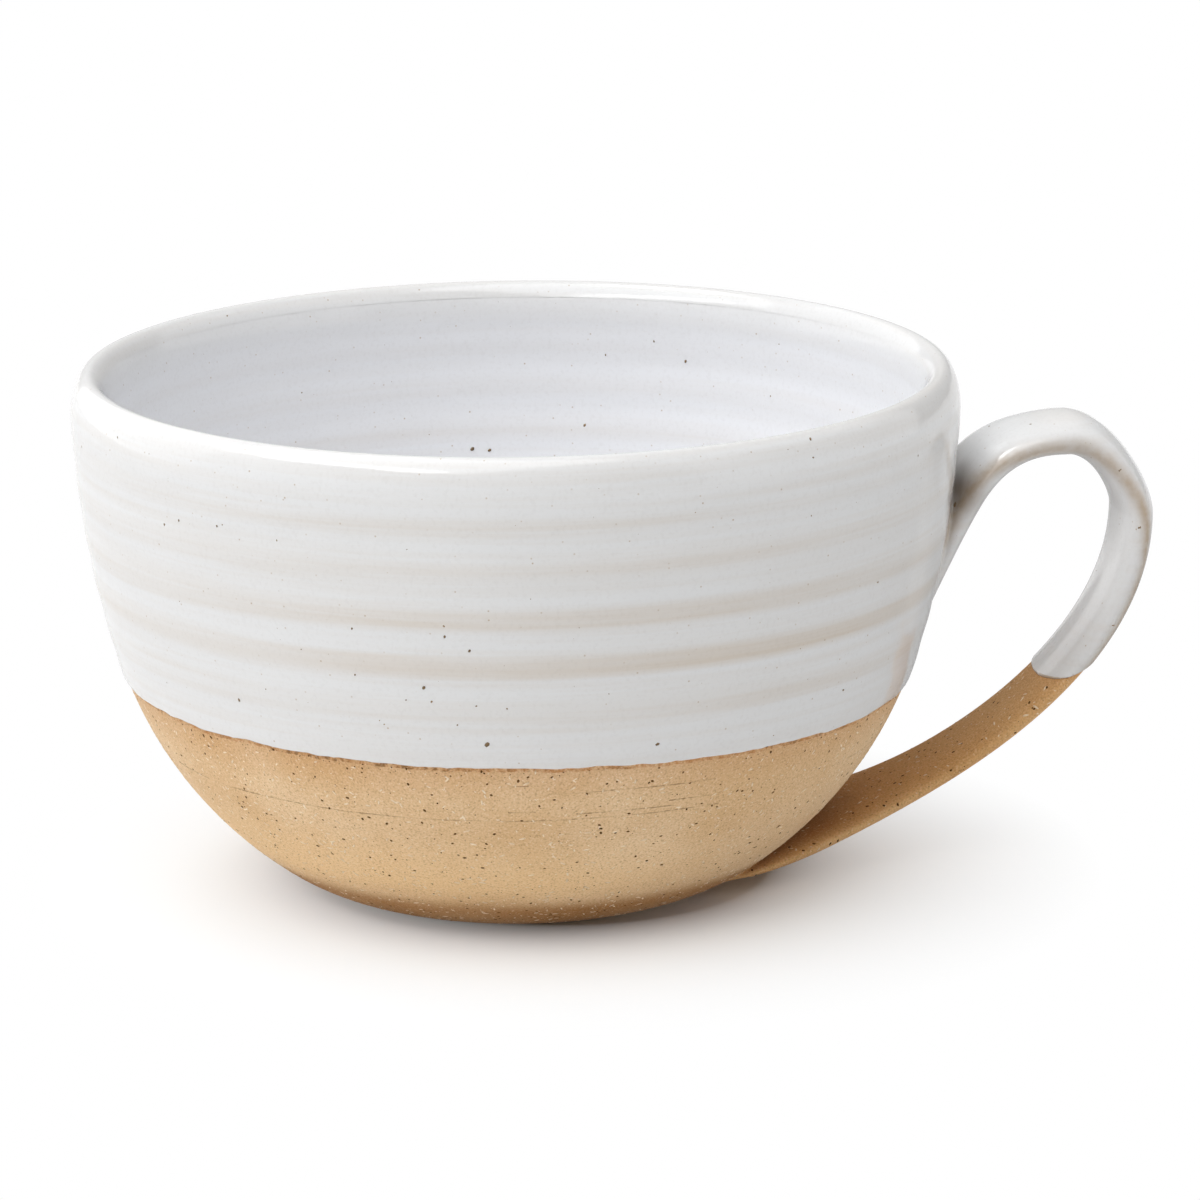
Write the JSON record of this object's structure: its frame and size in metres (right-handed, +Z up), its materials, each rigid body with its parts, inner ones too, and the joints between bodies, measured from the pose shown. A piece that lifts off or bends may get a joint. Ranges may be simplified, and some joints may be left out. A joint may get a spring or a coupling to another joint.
{
  "type": "soup mug",
  "caption": "Wide hand-thrown stoneware soup mug with a rounded lip, a pulled strap handle and a pale glaze dipped to a level line above bare clay.",
  "frame": {"origin": "centre of the foot, on the plane that the mug stands on", "axes": "+Z up along the bowl's axis, +X from that axis towards the handle, +Y completes the right-handed frame"},
  "size_m": [0.1627, 0.132, 0.0787],
  "materials": {
    "bare_clay": "bare fired stoneware, fine grog and dark specks",
    "handle_clay": "bare fired stoneware, toasted darker",
    "joint_slip": "smooth fired slip",
    "dip_glaze": "semi-gloss off-white glaze that breaks to tan",
    "liner_glaze": "semi-gloss off-white glaze"
  },
  "bodies": {
    "root": {"thrown_bowl": "bare_clay", "pulled_handle": "handle_clay", "upper_joint_slip": "joint_slip", "lower_joint_slip": "joint_slip", "outer_glaze": "dip_glaze", "liner_glaze": "liner_glaze", "handle_glaze": "dip_glaze"}
  },
  "joints": []
}
